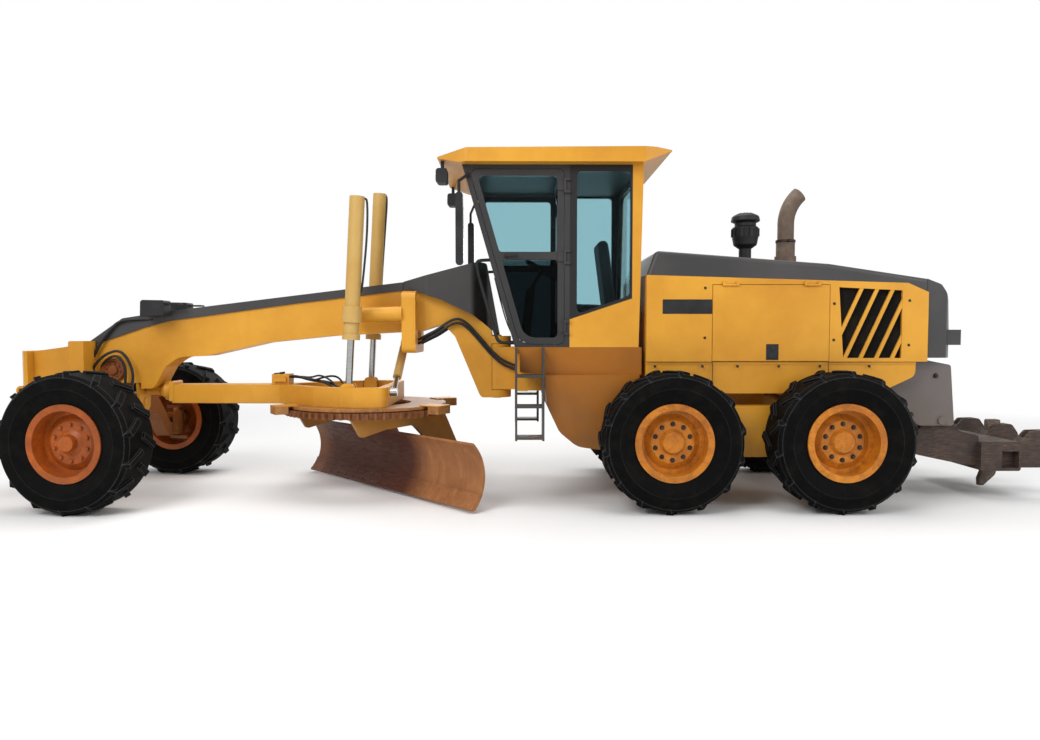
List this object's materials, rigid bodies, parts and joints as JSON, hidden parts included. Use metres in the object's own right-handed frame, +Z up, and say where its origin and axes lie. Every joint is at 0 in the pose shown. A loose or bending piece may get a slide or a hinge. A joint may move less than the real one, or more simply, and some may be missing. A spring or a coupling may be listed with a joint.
{
  "type": "motor grader",
  "caption": "Articulated motor grader with leaning steered front wheels, turning circle and curved blade under a raised beam, glazed cab, tandem rear wheels and rear ripper.",
  "frame": {"origin": "on the ground under the middle of the whole machine", "axes": "+X ahead, towards the front counterweight, +Y to the machine's left, +Z up"},
  "size_m": [10.49, 2.6392, 3.425],
  "materials": {
    "yellow_paint": "warm yellow, semi-gloss, worn",
    "dark_paint": "charcoal, semi-gloss",
    "tyre_rubber": "black, matt",
    "rim_front": "orange-brown, worn",
    "rim_rear": "yellow, worn",
    "blade_steel": "brown, worn steel",
    "circle_steel": "worn yellow over steel",
    "bright_steel": "polished",
    "grey_paint": "mid grey, matt",
    "shank_steel": "bare, worn",
    "axle_paint": "worn yellow",
    "engine_paint": "dark, matt",
    "stack_metal": "heat-browned",
    "cleaner_plastic": "black, matt",
    "cab_glass": "clear",
    "seat_cloth": "black cloth",
    "console_plastic": "dark grey, matt",
    "mirror_black": "black, matt",
    "lamp_housing": "black with clear lenses"
  },
  "bodies": {
    "rear_frame": {"rear_frame": "yellow_paint", "rear_axle": "yellow_paint", "tandem_cases": "yellow_paint", "engine": "engine_paint", "hood": "dark_paint", "side_panels": "yellow_paint", "rear_cowl": "dark_paint", "exhaust_stack": "stack_metal", "precleaner": "cleaner_plastic", "cab_base": "yellow_paint", "ladders": "dark_paint", "cab_shell": "dark_paint", "cab_roof": "yellow_paint", "cab_glass": "cab_glass", "driver_seat": "seat_cloth", "steering_console": "console_plastic", "mirrors": "mirror_black", "roof_lamps": "lamp_housing", "ripper_carrier": "grey_paint"},
    "front_frame": {"front_frame": "yellow_paint", "beam_cover": "dark_paint", "counterweight": "yellow_paint", "headlamps": "lamp_housing", "saddle": "yellow_paint", "front_axle": "axle_paint"},
    "lean_left": {"lean_yoke_left": "axle_paint"},
    "lean_right": {"lean_yoke_right": "axle_paint"},
    "lean_bar": {"lean_bar": "axle_paint"},
    "knuckle_left": {"knuckle_left": "axle_paint"},
    "knuckle_right": {"knuckle_right": "axle_paint"},
    "drawbar": {"drawbar": "yellow_paint"},
    "circle": {"circle": "circle_steel"},
    "blade_carrier": {"blade_carrier": "circle_steel"},
    "blade": {"blade": "blade_steel"},
    "shift_barrel": {"shift_barrel": "yellow_paint"},
    "shift_rod": {"shift_rod": "bright_steel"},
    "ripper": {"ripper_frame": "grey_paint", "ripper_shanks": "shank_steel"},
    "wheel_front_left": {"tyre_front_left": "tyre_rubber", "rim_front_left": "rim_front"},
    "wheel_front_right": {"tyre_front_right": "tyre_rubber", "rim_front_right": "rim_front"},
    "wheel_middle_left": {"tyre_middle_left": "tyre_rubber", "rim_middle_left": "rim_rear"},
    "wheel_middle_right": {"tyre_middle_right": "tyre_rubber", "rim_middle_right": "rim_rear"},
    "wheel_rear_left": {"tyre_rear_left": "tyre_rubber", "rim_rear_left": "rim_rear"},
    "wheel_rear_right": {"tyre_rear_right": "tyre_rubber", "rim_rear_right": "rim_rear"},
    "lift_barrel_left": {"lift_barrel_left": "yellow_paint"},
    "lift_rod_left": {"lift_rod_left": "bright_steel"},
    "lift_barrel_right": {"lift_barrel_right": "yellow_paint"},
    "lift_rod_right": {"lift_rod_right": "bright_steel"},
    "door_left": {"cab_door_left": "dark_paint", "door_glass_left": "cab_glass"},
    "door_right": {"cab_door_right": "dark_paint", "door_glass_right": "cab_glass"},
    "lid_left": {"engine_lid_left": "yellow_paint"},
    "lid_right": {"engine_lid_right": "yellow_paint"}
  },
  "joints": [
    {"name": "articulation", "type": "hinge", "parent": "rear_frame", "child": "front_frame", "pos_m": [0.325, 0, 1.3], "axis": [0, 0, 1], "range_deg": [-22, 22]},
    {"name": "lean_left", "type": "hinge", "parent": "front_frame", "child": "lean_left", "pos_m": [4.175, 0.735, 0.56], "axis": [1, 0, 0], "range_deg": [-18, 18]},
    {"name": "lean_right", "type": "hinge", "parent": "front_frame", "child": "lean_right", "pos_m": [4.175, -0.735, 0.56], "axis": [1, 0, 0], "range_deg": [-18, 18]},
    {"name": "lean_bar_swing", "type": "hinge", "parent": "lean_left", "child": "lean_bar", "pos_m": [4.175, 0.735, 0.76], "axis": [1, 0, 0], "range_deg": [-18, 18]},
    {"name": "steer_left", "type": "hinge", "parent": "lean_left", "child": "knuckle_left", "pos_m": [4.175, 0.887, 0.66], "axis": [0, 0, 1], "range_deg": [-44, 56]},
    {"name": "steer_right", "type": "hinge", "parent": "lean_right", "child": "knuckle_right", "pos_m": [4.175, -0.887, 0.66], "axis": [0, 0, 1], "range_deg": [-44, 56]},
    {"name": "roll_front_left", "type": "hinge", "parent": "knuckle_left", "child": "wheel_front_left", "pos_m": [4.19073, 1.03668, 0.66], "axis": [0.1045, 0.9945, 0], "continuous": true},
    {"name": "roll_front_right", "type": "hinge", "parent": "knuckle_right", "child": "wheel_front_right", "pos_m": [4.15927, -1.03668, 0.66], "axis": [0.1045, 0.9945, 0], "continuous": true},
    {"name": "roll_middle_left", "type": "hinge", "parent": "rear_frame", "child": "wheel_middle_left", "pos_m": [-1.319, 1.0375, 0.66], "axis": [0, 1, 0], "continuous": true},
    {"name": "roll_middle_right", "type": "hinge", "parent": "rear_frame", "child": "wheel_middle_right", "pos_m": [-1.319, -1.0375, 0.66], "axis": [0, 1, 0], "continuous": true},
    {"name": "roll_rear_left", "type": "hinge", "parent": "rear_frame", "child": "wheel_rear_left", "pos_m": [-2.891, 1.0375, 0.66], "axis": [0, 1, 0], "continuous": true},
    {"name": "roll_rear_right", "type": "hinge", "parent": "rear_frame", "child": "wheel_rear_right", "pos_m": [-2.891, -1.0375, 0.66], "axis": [0, 1, 0], "continuous": true},
    {"name": "drawbar_lift", "type": "hinge", "parent": "front_frame", "child": "drawbar", "pos_m": [3.835, 0, 1.06], "axis": [0, 1, 0], "range_deg": [-10, 10.5]},
    {"name": "lift_barrel_swing_left", "type": "hinge", "parent": "front_frame", "child": "lift_barrel_left", "pos_m": [1.735, 0.58, 1.85], "axis": [0, 1, 0], "range_deg": [-2.4, 2.3]},
    {"name": "lift_rod_slide_left", "type": "slide", "parent": "lift_barrel_left", "child": "lift_rod_left", "axis": [0.0547, 0, -0.9985], "range_m": [-0.3741, 0.3565]},
    {"name": "lift_barrel_swing_right", "type": "hinge", "parent": "front_frame", "child": "lift_barrel_right", "pos_m": [1.735, -0.58, 1.85], "axis": [0, 1, 0], "range_deg": [-2.4, 2.3]},
    {"name": "lift_rod_slide_right", "type": "slide", "parent": "lift_barrel_right", "child": "lift_rod_right", "axis": [0.0547, 0, -0.9985], "range_m": [-0.3741, 0.3565]},
    {"name": "shift_barrel_swing", "type": "hinge", "parent": "front_frame", "child": "shift_barrel", "pos_m": [1.347, -0.3, 1.56], "axis": [1, 0, 0], "range_deg": [-22.1, 23.19]},
    {"name": "shift_rod_slide", "type": "slide", "parent": "shift_barrel", "child": "shift_rod", "axis": [0, 0.8517, -0.5241], "range_m": [-0.2137, 0.2037]},
    {"name": "circle_turn", "type": "hinge", "parent": "drawbar", "child": "circle", "pos_m": [1.695, 0, 0.86], "axis": [0, 0, 1], "continuous": true},
    {"name": "blade_pitch", "type": "hinge", "parent": "circle", "child": "blade_carrier", "pos_m": [1.43532, -0.24643, 0.335], "axis": [-0.6884, 0.7254, 0], "range_deg": [-5, 40]},
    {"name": "blade_shift", "type": "slide", "parent": "blade_carrier", "child": "blade", "axis": [-0.6884, 0.7254, 0], "range_m": [-0.87, 0.33]},
    {"name": "door_swing_left", "type": "hinge", "parent": "rear_frame", "child": "door_left", "pos_m": [-0.348, 0.735, 2.4], "axis": [0, 0, 1], "range_deg": [0, 90]},
    {"name": "door_swing_right", "type": "hinge", "parent": "rear_frame", "child": "door_right", "pos_m": [-0.348, -0.735, 2.4], "axis": [0, 0, -1], "range_deg": [0, 90]},
    {"name": "lid_swing_left", "type": "hinge", "parent": "rear_frame", "child": "lid_left", "pos_m": [-2.34, 0.762, 2.128], "axis": [1, 0, 0], "range_deg": [0, 80]},
    {"name": "lid_swing_right", "type": "hinge", "parent": "rear_frame", "child": "lid_right", "pos_m": [-2.34, -0.762, 2.128], "axis": [-1, 0, 0], "range_deg": [0, 80]},
    {"name": "ripper_lift", "type": "hinge", "parent": "rear_frame", "child": "ripper", "pos_m": [-4.095, 0, 0.8], "axis": [0, 1, 0], "range_deg": [-20, 25]}
  ],
  "couplings": [
    {"joint": "lean_right", "follows": "lean_left", "ratio": 1},
    {"joint": "lean_bar_swing", "follows": "lean_left", "ratio": -1},
    {"joint": "steer_right", "follows": "steer_left", "ratio": 1},
    {"joint": "lift_barrel_swing_left", "follows": "drawbar_lift", "ratio": -0.2},
    {"joint": "lift_rod_slide_left", "follows": "drawbar_lift", "m_per_rad": -2.0252},
    {"joint": "lift_barrel_swing_right", "follows": "drawbar_lift", "ratio": -0.2},
    {"joint": "lift_rod_slide_right", "follows": "drawbar_lift", "m_per_rad": -2.0252},
    {"joint": "shift_barrel_swing", "follows": "drawbar_lift", "ratio": 2.18},
    {"joint": "shift_rod_slide", "follows": "drawbar_lift", "m_per_rad": -1.15}
  ]
}
